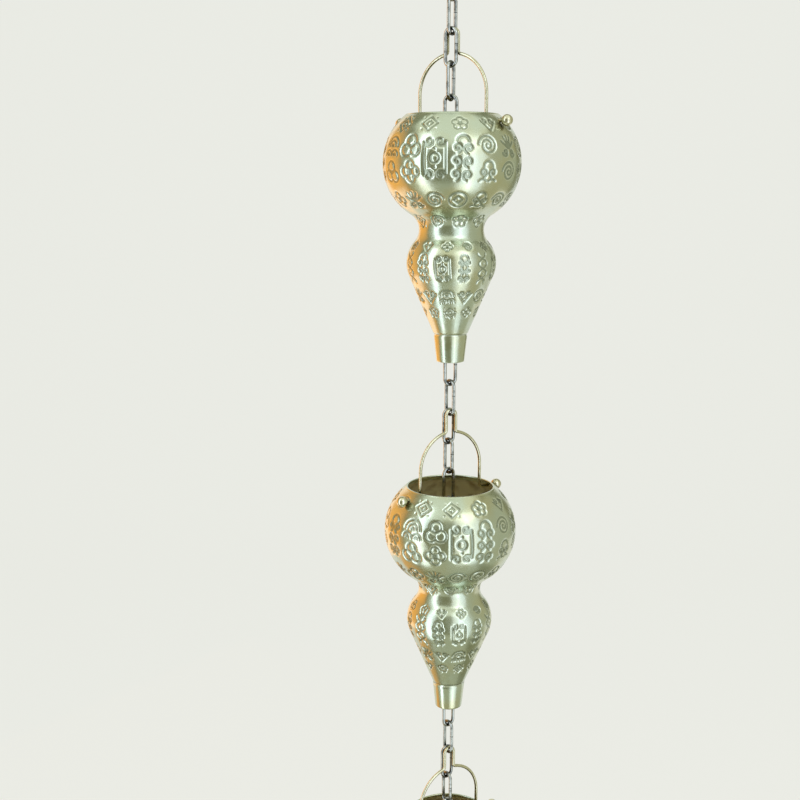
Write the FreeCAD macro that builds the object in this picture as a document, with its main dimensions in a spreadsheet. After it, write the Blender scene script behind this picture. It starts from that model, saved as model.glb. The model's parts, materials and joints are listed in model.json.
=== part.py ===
"""A rain chain: gourd-shaped cups hung by wire bails on an oval-link chain.

Frame: +Z is up, the origin is the point inside the top bow of the hanging hook,
and the chain hangs down -Z. Lengths are in millimetres, angles in degrees.
"""
import FreeCAD
import Part
import Sketcher

import math
import os
import re

# Driving dimensions. Each one is a cell of the sheet, under the same name.
SIZES = {
    # hanging hook
    "hook_wire": 2.6,
    "hook_top_inside": 6.0,
    "hook_eye_inside": 4.4,
    "hook_centres": 22.0,
    # chain
    "link_wire": 1.7,
    "link_pitch": 15.0,
    "seat_gap": 0.25,
    "side_gap": 0.2,
    "side_play": 0.9,
    # gourd cup, depths measured down from its rim
    "gourd_height": 117.0,
    "gourd_wall": 1.0,
    "mouth_radius": 21.7,
    "bulb_radius": 32.75,
    "bulb_depth": 22.4,
    "waist_radius": 15.5,
    "waist_depth": 53.4,
    "waist_bend": 8.25,
    "lower_bulb_radius": 21.5,
    "lower_bulb_depth": 69.2,
    "lower_belly_bend": 15.5,
    "spout_length": 13.7,
    "spout_top_radius": 8.2,
    "spout_end_radius": 6.75,
    "edge_round": 0.3,
    "scribe_width": 0.7,
    "scribe_cut": 0.3,
    # bail, heights measured up from the rim
    "bail_wire": 1.6,
    "bail_loop_inside": 2.1,
    "bail_loop_drop": 10.0,
    "bail_shoulder_bend": 1.5,
    "bail_leg_clearance": 0.8,
    "bail_arch_rise": 9.0,
    "foot_bend": 2.0,
    "foot_depth": 3.6,
    "foot_clearance": 0.06,
    "bead_radius": 2.7,
    "bead_grip": 1.2,
    "bead_gap": 0.3,
    "bead_fit": 0.03,
}

# Sizes that follow from the driving ones, as formulas of their names.
FORMULAS = {
    # a link is wide enough inside for a bail and the next link side by side
    "link_inside": "(link_wire + bail_wire + side_play) / 2",
    "link_bow": "link_inside + link_wire / 2",
    "link_half": "(link_pitch + seat_gap + link_wire) / 2",
    # the room that each of those two wires has in the bow, and the share of it that they take
    "bail_room": "link_inside - bail_wire / 2 - seat_gap",
    "link_room": "link_inside - link_wire / 2 - seat_gap",
    "room_share": "((bail_wire + link_wire) / 2 + side_gap) / (bail_room + link_room)",
    "seat_share": "sqrt(1 - room_share ^ 2)",
    # gourd: one bend from the rim to the widest point, then two that meet smoothly down to the
    # waist and two more from there to the lower bulb
    "bulb_inset": "(bulb_radius ^ 2 - mouth_radius ^ 2 - bulb_depth ^ 2)"
                  " / (2 * (bulb_radius - mouth_radius))",
    "bulb_bend": "bulb_radius - bulb_inset",
    "belly_drop": "waist_depth - bulb_depth",
    "belly_reach": "bulb_radius - waist_radius",
    "belly_bend": "(belly_drop ^ 2 + belly_reach ^ 2) / (2 * belly_reach) - waist_bend",
    "lower_drop": "lower_bulb_depth - waist_depth",
    "lower_reach": "lower_bulb_radius - waist_radius",
    "lower_bend": "(lower_drop ^ 2 + lower_reach ^ 2) / (2 * lower_reach) - waist_bend",
    "mouth_inside": "bulb_inset + sqrt((bulb_bend - gourd_wall) ^ 2 - bulb_depth ^ 2)",
    # bail
    "leg_offset": "mouth_inside - bail_wire / 2 - bail_leg_clearance",
    "loop_bow": "bail_loop_inside + bail_wire / 2",
    "shoulder_offset": "loop_bow + bail_shoulder_bend",
    "shoulder_height": "bail_arch_rise"
                       " + sqrt((leg_offset + bail_shoulder_bend) ^ 2 - shoulder_offset ^ 2)",
    "bail_top": "shoulder_height + bail_loop_drop",
    "bead_offset": "bulb_inset + sqrt((bulb_bend + bead_radius + bead_gap) ^ 2"
                   " - (bulb_depth - foot_depth) ^ 2)",
    "foot_end": "bead_offset + bead_grip",
    # hook
    "hook_top_bow": "hook_top_inside + hook_wire / 2",
    "hook_eye_bow": "hook_eye_inside + hook_wire / 2",
}

GOURD_COUNT = 3
LINKS_PER_GOURD = 12
LINKS_ABOVE = 2
# Each carrier link's turn about the chain, and the side of its bow on which its bail hangs.
CARRIER_AZIMUTHS = (55.0, 125.0, 125.0)
BAIL_SIDES = (1, -1, -1)
QUARTER_TURN = 90.0

CLOSE = 1e-6
SHEET_NAME = "Sizes"
UP = FreeCAD.Vector(0, 0, 1)
# a sketch's own numbers for a curve's points, and for its origin and upright axis
START, END, CENTRE = range(1, 4)
ORIGIN, UPRIGHT_AXIS = range(-1, -3, -1)


def expand(text):
    """Writes a formula out in the sheet's own cells."""
    def cell(match):
        word = match.group(0)
        if word in SIZES:
            return f"{SHEET_NAME}.{word}"
        return f"({expand(FORMULAS[word])})" if word in FORMULAS else word

    return re.sub(r"[a-z_]+", cell, text)


class Sheet:
    """The sheet of driving dimensions, which also works formulas out."""

    def __init__(self, doc):
        self.cells = doc.addObject("Spreadsheet::Sheet", SHEET_NAME)
        for row, (alias, value) in enumerate(SIZES.items(), start=1):
            self.cells.set(f"A{row}", alias)
            self.cells.set(f"B{row}", str(value))
            self.cells.setAlias(f"B{row}", alias)
        doc.recompute()

    def value(self, text):
        """The number that a formula gives."""
        return float(self.cells.evalExpression(expand(text)))


class PlaneSketch:
    """A sketch on one of a body's own planes, with dimensions tied to the sheet."""

    def __init__(self, sheet, body, name, role):
        self.sheet = sheet
        self.sketch = body.newObject("Sketcher::SketchObject", name)
        self.sketch.AttachmentSupport = (origin_plane(body, role), [""])
        self.sketch.MapMode = "FlatFace"

    def line(self, start, end):
        """Adds a straight line between two points."""
        ends = [FreeCAD.Vector(*place, 0) for place in (start, end)]
        return self.sketch.addGeometry(Part.LineSegment(*ends), False)

    def arc(self, centre, radius, first, last):
        """Adds an arc that runs counter-clockwise from one angle to another, in radians."""
        circle = Part.Circle(FreeCAD.Vector(*centre, 0), UP, radius)
        return self.sketch.addGeometry(Part.ArcOfCircle(circle, first, last), False)

    def circle(self, centre, radius):
        """Adds a full circle."""
        return self.sketch.addGeometry(Part.Circle(FreeCAD.Vector(*centre, 0), UP, radius), False)

    def fix(self, kind, *where):
        """Adds a constraint that has no size of its own."""
        self.sketch.addConstraint(Sketcher.Constraint(kind, *where))

    def size(self, formula, kind, *where):
        """Adds a dimension and ties it to the sheet."""
        number = self.sheet.value(formula)
        index = self.sketch.addConstraint(Sketcher.Constraint(kind, *where, number))
        self.sketch.setExpression(f"Constraints[{index}]", expand(formula))

    def edges(self):
        """The names of the sketch's edges, in the order they were drawn."""
        return [f"Edge{n + 1}" for n in range(self.sketch.GeometryCount)]


def origin_plane(body, role):
    """One of a body's own origin planes."""
    return next(f for f in body.Origin.OriginFeatures if f.Role == role)


def turned(degrees, base):
    """A place turned about the upright axis."""
    return FreeCAD.Placement(base, FreeCAD.Rotation(UP, degrees))


def mirrored_wire(sheet, body, path, top, wire):
    """Sweeps a wire from the top of its half path and mirrors it to the other side."""
    section = PlaneSketch(sheet, body, "Section", "YZ_Plane")
    ring = section.circle((0, sheet.value(top)), sheet.value(f"{wire} / 2"))
    section.fix("PointOnObject", ring, CENTRE, UPRIGHT_AXIS)
    section.size(top, "DistanceY", ORIGIN, START, ring, CENTRE)
    section.size(f"{wire} / 2", "Radius", ring)

    pipe = body.newObject("PartDesign::AdditivePipe", "HalfWire")
    pipe.Profile = section.sketch
    pipe.Spine = (path.sketch, path.edges())
    both = body.newObject("PartDesign::Mirrored", "WholeWire")
    both.Originals = [pipe]
    both.MirrorPlane = (origin_plane(body, "YZ_Plane"), [""])
    body.Tip = both


def make_link(doc, sheet, label):
    """An oval link of round wire, upright in its XZ plane, centred on its origin."""
    body = doc.addObject("PartDesign::Body", label)
    bow = sheet.value("link_bow")
    half = sheet.value("link_half")
    centre = half - bow

    path = PlaneSketch(sheet, body, "HalfOval", "XZ_Plane")
    top = path.arc((0, centre), bow, 0, math.pi / 2)
    side = path.line((bow, centre), (bow, -centre))
    bottom = path.arc((0, -centre), bow, 1.5 * math.pi, 2 * math.pi)
    path.fix("Tangent", top, START, side, START)
    path.fix("Tangent", side, END, bottom, END)
    for curve, end in ((top, END), (bottom, START)):
        path.fix("PointOnObject", curve, CENTRE, UPRIGHT_AXIS)
        path.fix("PointOnObject", curve, end, UPRIGHT_AXIS)
    path.fix("Vertical", side)
    path.size("link_bow", "Radius", top)
    path.size("link_half", "DistanceY", ORIGIN, START, top, END)
    path.size("link_half", "DistanceY", bottom, START, ORIGIN, START)

    mirrored_wire(sheet, body, path, "link_half", "link_wire")
    return body


def make_bail(doc, sheet, label):
    """A wire bail with a keyhole loop, in its XZ plane, with the rim's centre as its origin."""
    body = doc.addObject("PartDesign::Body", label)
    value = sheet.value
    loop, bend, foot = value("loop_bow"), value("bail_shoulder_bend"), value("foot_bend")
    leg, rise, depth = value("leg_offset"), value("bail_arch_rise"), value("foot_depth")
    shoulder = (value("shoulder_offset"), value("shoulder_height"))
    loop_height = value("bail_top") - loop
    lean = math.atan2(shoulder[1] - rise, shoulder[0])

    path = PlaneSketch(sheet, body, "HalfBail", "XZ_Plane")
    crown = path.arc((0, loop_height), loop, 0, math.pi / 2)
    neck = path.line((loop, loop_height), (loop, shoulder[1]))
    turn = path.arc(shoulder, bend, math.pi, math.pi + lean)
    arch = path.arc((0, rise), leg, 0, lean)
    side = path.line((leg, rise), (leg, foot - depth))
    ankle = path.arc((leg + foot, foot - depth), foot, math.pi, 1.5 * math.pi)
    toe = path.line((leg + foot, -depth), (value("foot_end"), -depth))
    path.fix("Tangent", crown, START, neck, START)
    path.fix("Tangent", neck, END, turn, START)
    path.fix("Tangent", turn, END, arch, END)
    path.fix("Tangent", arch, START, side, START)
    path.fix("Tangent", side, END, ankle, START)
    path.fix("Tangent", ankle, END, toe, START)
    path.fix("Vertical", neck)
    path.fix("Vertical", side)
    path.fix("Horizontal", toe)
    path.fix("PointOnObject", crown, CENTRE, UPRIGHT_AXIS)
    path.fix("PointOnObject", crown, END, UPRIGHT_AXIS)
    path.fix("PointOnObject", arch, CENTRE, UPRIGHT_AXIS)
    path.size("loop_bow", "Radius", crown)
    path.size("bail_shoulder_bend", "Radius", turn)
    path.size("foot_bend", "Radius", ankle)
    path.size("leg_offset", "DistanceX", ORIGIN, START, side, START)
    path.size("bail_arch_rise", "DistanceY", ORIGIN, START, arch, CENTRE)
    path.size("bail_loop_drop - loop_bow", "DistanceY", neck, END, neck, START)
    path.size("foot_depth", "DistanceY", toe, END, ORIGIN, START)
    path.size("foot_end", "DistanceX", ORIGIN, START, toe, END)

    mirrored_wire(sheet, body, path, "bail_top", "bail_wire")
    return body


def make_beads(doc, sheet, label):
    """The two round beads on the ends of a bail's feet, bored for the wire."""
    def on_feet(kind, name, middle, **formulas):
        """A round piece whose axis is the line of the feet."""
        piece = doc.addObject(kind, f"{label}_{name}")
        piece.Placement.Rotation = FreeCAD.Rotation(UP, FreeCAD.Vector(1, 0, 0))
        piece.setExpression("Placement.Base.x", expand(middle))
        piece.setExpression("Placement.Base.z", expand("-foot_depth"))
        for size, formula in formulas.items():
            piece.setExpression(size, expand(formula))
        return piece

    pair = doc.addObject("Part::MultiFuse", f"{label}_pair")
    pair.Shapes = [
        on_feet("Part::Sphere", "right", "bead_offset", Radius="bead_radius"),
        on_feet("Part::Sphere", "left", "-bead_offset", Radius="bead_radius"),
    ]
    bore = on_feet("Part::Cylinder", "bore", "-foot_end",
                   Radius="bail_wire / 2 + bead_fit", Height="2 * foot_end")
    beads = doc.addObject("Part::Cut", label)
    beads.Base = pair
    beads.Tool = bore
    return beads


def gourd_outline(sheet, body):
    """Half of the gourd's outside: bulb, waist, lower bulb, straight tail and spout."""
    value = sheet.value
    height, mouth = value("gourd_height"), value("mouth_radius")
    bulb, bulb_depth = value("bulb_radius"), value("bulb_depth")
    lower_bulb, lower_depth = value("lower_bulb_radius"), value("lower_bulb_depth")
    waist_depth, waist_bend = value("waist_depth"), value("waist_bend")
    bulb_bend, belly_bend = value("bulb_bend"), value("belly_bend")
    lower_bend, lower_belly = value("lower_bend"), value("lower_belly_bend")
    waist_x = value("waist_radius + waist_bend")
    lower_x = lower_bulb - lower_belly
    spout_top = (value("spout_top_radius"), value("spout_length") - height)

    # the angles at which neighbouring curves touch
    rim_lean = math.atan2(bulb_depth, mouth - bulb + bulb_bend)
    belly_lean = math.atan2(waist_depth - bulb_depth, waist_x - bulb + belly_bend)
    lower_lean = math.atan2(lower_depth - waist_depth, waist_x - lower_bulb + lower_bend)
    run, drop = spout_top[0] - lower_x, -spout_top[1] - lower_depth
    tail_lean = math.asin(lower_belly / math.hypot(run, drop)) - math.atan2(run, drop)
    tail_top = (lower_x + lower_belly * math.cos(tail_lean),
                -lower_depth - lower_belly * math.sin(tail_lean))

    half = PlaneSketch(sheet, body, "Outline", "XZ_Plane")
    rim = half.line((0, 0), (mouth, 0))
    shoulder = half.arc((bulb - bulb_bend, -bulb_depth), bulb_bend, 0, rim_lean)
    belly = half.arc((bulb - belly_bend, -bulb_depth), belly_bend, -belly_lean, 0)
    waist = half.arc((waist_x, -waist_depth), waist_bend,
                     math.pi - belly_lean, math.pi + lower_lean)
    lower = half.arc((lower_bulb - lower_bend, -lower_depth), lower_bend, 0, lower_lean)
    lower_turn = half.arc((lower_x, -lower_depth), lower_belly, -tail_lean, 0)
    tail = half.line(tail_top, spout_top)
    spout = half.line(spout_top, (value("spout_end_radius"), -height))
    foot = half.line((value("spout_end_radius"), -height), (0, -height))
    axis = half.line((0, -height), (0, 0))
    half.fix("Coincident", rim, START, ORIGIN, START)
    half.fix("Coincident", rim, END, shoulder, END)
    half.fix("Tangent", shoulder, START, belly, END)
    half.fix("Tangent", belly, START, waist, START)
    half.fix("Tangent", waist, END, lower, END)
    half.fix("Tangent", lower, START, lower_turn, END)
    half.fix("Tangent", lower_turn, START, tail, START)
    half.fix("Coincident", tail, END, spout, START)
    half.fix("Coincident", spout, END, foot, START)
    half.fix("Coincident", foot, END, axis, START)
    half.fix("Coincident", axis, END, rim, START)
    half.fix("Horizontal", rim)
    half.fix("Horizontal", foot)
    half.fix("Vertical", axis)
    half.fix("Horizontal", shoulder, START, shoulder, CENTRE)
    half.fix("Horizontal", lower, START, lower, CENTRE)
    half.size("mouth_radius", "DistanceX", ORIGIN, START, rim, END)
    half.size("bulb_radius", "DistanceX", ORIGIN, START, shoulder, START)
    half.size("bulb_depth", "DistanceY", shoulder, START, ORIGIN, START)
    half.size("waist_bend", "Radius", waist)
    half.size("waist_radius + waist_bend", "DistanceX", ORIGIN, START, waist, CENTRE)
    half.size("waist_depth", "DistanceY", waist, CENTRE, ORIGIN, START)
    half.size("lower_bulb_radius", "DistanceX", ORIGIN, START, lower, START)
    half.size("lower_bulb_depth", "DistanceY", lower, START, ORIGIN, START)
    half.size("lower_belly_bend", "Radius", lower_turn)
    half.size("spout_top_radius", "DistanceX", ORIGIN, START, tail, END)
    half.size("spout_length", "DistanceY", spout, END, spout, START)
    half.size("spout_end_radius", "DistanceX", ORIGIN, START, spout, END)
    half.size("gourd_height", "DistanceY", spout, END, ORIGIN, START)
    return half.sketch


def cut_scribe(sheet, body):
    """The fine turned line where the tail meets the spout."""
    value = sheet.value
    radius = value("spout_top_radius")
    depth = value("spout_length - gourd_height")
    half_width, cut = value("scribe_width / 2"), value("scribe_cut")
    notch = PlaneSketch(sheet, body, "ScribeLine", "XZ_Plane")
    outside = radius + cut
    upper = notch.line((radius - cut, depth), (outside, depth + half_width))
    mouth = notch.line((outside, depth + half_width), (outside, depth - half_width))
    lower = notch.line((outside, depth - half_width), (radius - cut, depth))
    for one, other in ((upper, mouth), (mouth, lower), (lower, upper)):
        notch.fix("Coincident", one, END, other, START)
    notch.fix("Vertical", mouth)
    notch.fix("Equal", upper, lower)
    notch.size("scribe_width", "DistanceY", mouth, END, mouth, START)
    notch.size("spout_top_radius + scribe_cut", "DistanceX", ORIGIN, START, mouth, START)
    notch.size("spout_top_radius - scribe_cut", "DistanceX", ORIGIN, START, upper, START)
    notch.size("gourd_height - spout_length", "DistanceY", upper, START, ORIGIN, START)

    groove = body.newObject("PartDesign::Groove", "ScribeGroove")
    groove.Profile = notch.sketch
    groove.ReferenceAxis = (notch.sketch, ["V_Axis"])
    groove.Angle = 360


def flat_ends(shape):
    """The names of the flat faces at the two ends of a turned shape."""
    return [f"Face{n}" for n, face in enumerate(shape.Faces, start=1)
            if isinstance(face.Surface, Part.Plane)]


def end_edges(shape, height):
    """The names of the round edges at the rim and at the spout's end."""
    def lies_at(edge, level):
        box = edge.BoundBox
        return max(abs(box.ZMin - level), abs(box.ZMax - level)) < CLOSE

    return [f"Edge{n}" for n, edge in enumerate(shape.Edges, start=1)
            if lies_at(edge, 0) or lies_at(edge, -height)]


def make_gourd(doc, sheet, label):
    """A thin-walled gourd cup, open at the rim and the spout, its origin the rim's centre."""
    body = doc.addObject("PartDesign::Body", label)
    outline = gourd_outline(sheet, body)
    solid = body.newObject("PartDesign::Revolution", "Turned")
    solid.Profile = outline
    solid.ReferenceAxis = (outline, ["V_Axis"])
    solid.Angle = 360
    doc.recompute()

    wall = body.newObject("PartDesign::Thickness", "Wall")
    wall.Base = (solid, flat_ends(solid.Shape))
    wall.setExpression("Value", expand("gourd_wall"))
    wall.Reversed = True
    wall.Join = "Intersection"
    doc.recompute()

    lips = body.newObject("PartDesign::Fillet", "RoundedLips")
    lips.Base = (wall, end_edges(wall.Shape, sheet.value("gourd_height")))
    lips.setExpression("Radius", expand("edge_round"))
    doc.recompute()

    cut_scribe(sheet, body)
    doc.recompute()

    hole = PlaneSketch(sheet, body, "FootHole", "YZ_Plane")
    ring = hole.circle((0, -sheet.value("foot_depth")), sheet.value("bail_wire / 2 + foot_clearance"))
    hole.fix("PointOnObject", ring, CENTRE, UPRIGHT_AXIS)
    hole.size("foot_depth", "DistanceY", ring, CENTRE, ORIGIN, START)
    hole.size("bail_wire / 2 + foot_clearance", "Radius", ring)
    pocket = body.newObject("PartDesign::Pocket", "FootHoles")
    pocket.Profile = hole.sketch
    pocket.Type = "ThroughAll"
    pocket.Midplane = True
    doc.recompute()
    return body


def make_hook(doc, sheet, label):
    """A plain S hook of round wire in its XZ plane, the inside of its top bow at the origin."""
    body = doc.addObject("PartDesign::Body", label)
    value = sheet.value
    top, eye = value("hook_top_bow"), value("hook_eye_bow")
    top_height = -value("hook_top_inside")
    eye_height = top_height - value("hook_centres")
    # the straight shank crosses from the right of the top bow to the left of the eye
    lean = math.asin((top + eye) / value("hook_centres"))
    top_end = (top * math.cos(lean), top_height - top * math.sin(lean))
    eye_end = (-eye * math.cos(lean), eye_height + eye * math.sin(lean))

    path = PlaneSketch(sheet, body, "HookLine", "XZ_Plane")
    bow = path.arc((0, top_height), top, -lean, math.pi)
    shank = path.line(top_end, eye_end)
    loop = path.arc((0, eye_height), eye, math.pi - lean, 2 * math.pi)
    path.fix("Tangent", bow, START, shank, START)
    path.fix("Tangent", shank, END, loop, START)
    for curve in (bow, loop):
        path.fix("PointOnObject", curve, CENTRE, UPRIGHT_AXIS)
    path.fix("Horizontal", bow, END, bow, CENTRE)
    path.fix("Horizontal", loop, END, loop, CENTRE)
    path.size("hook_top_bow", "Radius", bow)
    path.size("hook_eye_bow", "Radius", loop)
    path.size("hook_top_inside", "DistanceY", bow, CENTRE, ORIGIN, START)
    path.size("hook_centres", "DistanceY", loop, CENTRE, bow, CENTRE)

    section = PlaneSketch(sheet, body, "Section", "XY_Plane")
    section.sketch.setExpression("AttachmentOffset.Base.z", expand("-hook_top_inside"))
    ring = section.circle((-top, 0), value("hook_wire / 2"))
    section.fix("Horizontal", ring, CENTRE, ORIGIN, START)
    section.size("hook_top_bow", "DistanceX", ring, CENTRE, ORIGIN, START)
    section.size("hook_wire / 2", "Radius", ring)
    pipe = body.newObject("PartDesign::AdditivePipe", "HookWire")
    pipe.Profile = section.sketch
    pipe.Spine = (path.sketch, path.edges())
    body.Tip = pipe
    return body


def link_azimuth(number):
    """The turn of a link about the chain: a quarter turn each, plus a slow twist between gourds."""
    steps = number - LINKS_ABOVE
    gourd = min(max(steps // LINKS_PER_GOURD, 0), GOURD_COUNT - 2)
    twist = (CARRIER_AZIMUTHS[gourd + 1] - CARRIER_AZIMUTHS[gourd]) / (LINKS_PER_GOURD - 1)
    # the link beside a bail stays square to its carrier, so the twist starts below it
    twisted = max(steps - gourd * LINKS_PER_GOURD - 1, 0)
    return CARRIER_AZIMUTHS[gourd] + steps * QUARTER_TURN + twisted * twist


def build(doc):
    """Makes every piece and hangs it in its place."""
    sheet = Sheet(doc)
    value = sheet.value
    pieces = []

    def hang(piece, azimuth, place):
        piece.Placement = turned(azimuth, FreeCAD.Vector(place))
        pieces.append(piece)

    aside = value("room_share")
    bow_height = value("link_half - link_bow")
    to_rim = value("bail_room * seat_share + bail_top")
    to_next = value("link_room * seat_share + link_half")
    link_room, bail_room = value("link_room"), value("bail_room")

    hook = make_hook(doc, sheet, "hanging_hook")
    hang(hook, link_azimuth(1) - QUARTER_TURN, FreeCAD.Vector())
    seat = value("hook_top_inside + hook_centres + hook_eye_bow")
    over_hook = value("(hook_wire + link_wire) / 2 + seat_gap - link_half")
    place = FreeCAD.Vector(0, 0, over_hook - seat)

    last = LINKS_ABOVE + GOURD_COUNT * LINKS_PER_GOURD
    drift = FreeCAD.Vector()
    for number in range(1, last + 1):
        azimuth = link_azimuth(number)
        hang(make_link(doc, sheet, f"link_{number:02d}"), azimuth, place)
        gourd, since = divmod(number - LINKS_ABOVE, LINKS_PER_GOURD)
        if number >= LINKS_ABOVE and since == 0 and gourd < GOURD_COUNT:
            along = FreeCAD.Rotation(UP, azimuth).multVec(FreeCAD.Vector(1, 0, 0)) * BAIL_SIDES[gourd]
            bow = place - UP * bow_height
            rim = bow + along * (bail_room * aside) - UP * to_rim
            for make, name in ((make_gourd, "gourd"), (make_bail, "bail"), (make_beads, "bail_beads")):
                hang(make(doc, sheet, f"{name}_{gourd + 1}"), azimuth - QUARTER_TURN, rim)
            place = bow - along * (link_room * aside) - UP * to_next
            # inside the gourd the chain leans back to the middle of the spout
            drift = along * ((link_room + bail_room) * aside / (LINKS_PER_GOURD - 2))
        else:
            place = place - UP * value("link_pitch")
            place = place + drift if since < LINKS_PER_GOURD - 1 else place
    return pieces


def check(doc, pieces):
    """Stops unless every object is sound and every piece is a valid shape."""
    doc.recompute()
    unsound = [o.Label for o in doc.Objects if {"Invalid", "Error"} & set(o.State)]
    unsound += [p.Label for p in pieces if p.Shape.isNull() or not p.Shape.isValid()]
    if unsound:
        raise RuntimeError(f"unsound objects: {unsound}")


def main():
    """Builds the rain chain and writes each piece to its own file."""
    doc = FreeCAD.newDocument("RainChain")
    pieces = build(doc)
    check(doc, pieces)
    os.makedirs("parts", exist_ok=True)
    for piece in pieces:
        piece.Shape.exportStep(os.path.join("parts", f"{piece.Label}.step"))


main()
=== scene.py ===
"""Looks of a rain chain: three carved brass gourd cups on a chain of oval steel links.

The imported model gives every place. Each cup is replaced by a carved shell on the same outline,
the links, bails, beads and hook keep their own solids and get their finishes here, and each
link gets the seam where its wire was closed.
"""
import json
import logging
import math
from dataclasses import dataclass
from enum import Enum

import bpy
import numpy as np
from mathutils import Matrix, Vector


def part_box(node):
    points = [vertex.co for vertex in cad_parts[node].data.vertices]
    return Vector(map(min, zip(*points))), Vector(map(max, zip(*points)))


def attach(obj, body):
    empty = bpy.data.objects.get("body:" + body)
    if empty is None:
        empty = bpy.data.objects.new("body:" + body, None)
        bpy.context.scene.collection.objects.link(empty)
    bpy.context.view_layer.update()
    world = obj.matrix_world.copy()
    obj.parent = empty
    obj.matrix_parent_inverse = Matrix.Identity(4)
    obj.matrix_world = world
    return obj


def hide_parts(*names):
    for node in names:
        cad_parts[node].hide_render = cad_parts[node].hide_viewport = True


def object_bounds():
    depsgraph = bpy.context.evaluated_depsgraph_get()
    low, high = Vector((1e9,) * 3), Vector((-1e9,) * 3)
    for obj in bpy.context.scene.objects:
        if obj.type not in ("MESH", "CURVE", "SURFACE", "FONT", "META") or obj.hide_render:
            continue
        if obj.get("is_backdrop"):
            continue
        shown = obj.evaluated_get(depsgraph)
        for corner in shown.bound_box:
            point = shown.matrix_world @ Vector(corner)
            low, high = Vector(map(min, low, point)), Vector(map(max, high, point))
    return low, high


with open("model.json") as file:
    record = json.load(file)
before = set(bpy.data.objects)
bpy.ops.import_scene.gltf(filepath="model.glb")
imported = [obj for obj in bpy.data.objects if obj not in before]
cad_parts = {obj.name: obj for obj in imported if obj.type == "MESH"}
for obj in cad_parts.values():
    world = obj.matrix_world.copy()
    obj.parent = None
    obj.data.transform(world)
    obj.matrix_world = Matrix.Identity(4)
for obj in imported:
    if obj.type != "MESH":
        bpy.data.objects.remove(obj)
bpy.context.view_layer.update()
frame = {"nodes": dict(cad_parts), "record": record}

LOG = logging.getLogger("rain_chain")
MM = 0.001
# sockets of a colour Mix node, which have the same names as its number sockets
MIX_A, MIX_B, MIX_RESULT = 6, 7, 2
CARVE_LAYER = "carve_mm"
# the carving's distance, in millimetres, where nothing is carved
PLAIN = 4.0
# the cups come from one mould, and each hangs with its ornament turned another way
PATTERN_SEED = 276
PATTERN_TURNS = (0.0, 24.0, -38.0)

Array = np.ndarray


# Helpers

def srgb(code: str) -> tuple[float, float, float, float]:
    """Turns an sRGB hex colour into linear light.

    Args:
        code: Six hex digits after a hash sign.

    Returns:
        Linear red, green, blue, and an alpha of one.
    """
    parts = np.array([int(code[i:i + 2], 16) for i in (1, 3, 5)]) / 255
    linear = np.where(parts <= 0.04045, parts / 12.92, ((parts + 0.055) / 1.055) ** 2.4)
    return (*(float(x) for x in linear), 1.0)


def per_metre(millimetres: float) -> float:
    """The scale of a pattern on Object coordinates whose features have this size."""
    return 1 / (millimetres * MM)


def add_node(tree: bpy.types.NodeTree, kind: str, inputs: dict | None = None,
             **settings: object) -> bpy.types.Node:
    """Adds a node with its settings, input values and links.

    Args:
        tree: The node tree that takes the node.
        kind: The node's type name.
        inputs: Values or output sockets, by the name or number of the input they go to.
        **settings: Properties of the node.

    Returns:
        The new node.
    """
    node = tree.nodes.new(kind)
    for name, value in settings.items():
        setattr(node, name, value)
    for name, value in (inputs or {}).items():
        if isinstance(value, bpy.types.NodeSocket):
            tree.links.new(value, node.inputs[name])
        else:
            node.inputs[name].default_value = value
    return node


def new_tree(owner: bpy.types.Material | bpy.types.World) -> bpy.types.NodeTree:
    """Gives a material or world an empty node tree.

    Args:
        owner: The material or world.

    Returns:
        Its node tree, without nodes.
    """
    owner.use_nodes = True
    owner.node_tree.nodes.clear()
    return owner.node_tree


def grid_quads(rows: int, columns: int, closed: bool) -> Array:
    """Corner numbers of the quads of a grid of points.

    Point (i, j) has the number i * columns + j. Each quad takes the points (i, j), (i + 1, j),
    (i + 1, j + 1) and (i, j + 1). In a closed grid the last row joins the first, and so does
    the last column.

    Args:
        rows: How many rows of points there are.
        columns: How many points each row has.
        closed: Whether both ends of the rows and of the columns are joined.

    Returns:
        An array of four corners for each quad, row by row.
    """
    open_ends = 0 if closed else 1
    i = np.arange(rows - open_ends)[:, None]
    j = np.arange(columns - open_ends)[None, :]
    below, beside = (i + 1) % rows * columns, (j + 1) % columns
    i = i * columns
    return np.stack([i + j, below + j, below + beside, i + beside], axis=-1).reshape(-1, 4)


def mesh_object(name: str, points: Array, quads: Array) -> bpy.types.Object:
    """Makes a smooth mesh object at the origin.

    Args:
        name: The object's and the mesh's name.
        points: One row of metres for each point.
        quads: One row of four corners for each face.

    Returns:
        The object, linked to the scene.
    """
    mesh = bpy.data.meshes.new(name)
    mesh.vertices.add(len(points))
    mesh.vertices.foreach_set("co", np.ascontiguousarray(points, dtype=np.float32).ravel())
    mesh.loops.add(quads.size)
    mesh.loops.foreach_set("vertex_index", quads.astype(np.int32).ravel())
    mesh.polygons.add(len(quads))
    mesh.polygons.foreach_set("loop_start", np.arange(0, quads.size, 4, dtype=np.int32))
    mesh.update(calc_edges=True)
    mesh.shade_smooth()
    piece = bpy.data.objects.new(name, mesh)
    bpy.context.scene.collection.objects.link(piece)
    return piece


def node_points(node: str) -> Array:
    """The points of a CAD node's mesh, in metres.

    Args:
        node: The node's name.

    Returns:
        One row for each point.
    """
    mesh = frame["nodes"][node].data
    flat = np.empty(3 * len(mesh.vertices), dtype=np.float32)
    mesh.vertices.foreach_get("co", flat)
    return flat.reshape(-1, 3).astype(float)


def body_of(node: str) -> str:
    """The name of the body that a CAD node belongs to."""
    bodies = frame["record"]["behaviour"]["bodies"]
    return next(body for body, nodes in bodies.items() if node in nodes)


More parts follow.
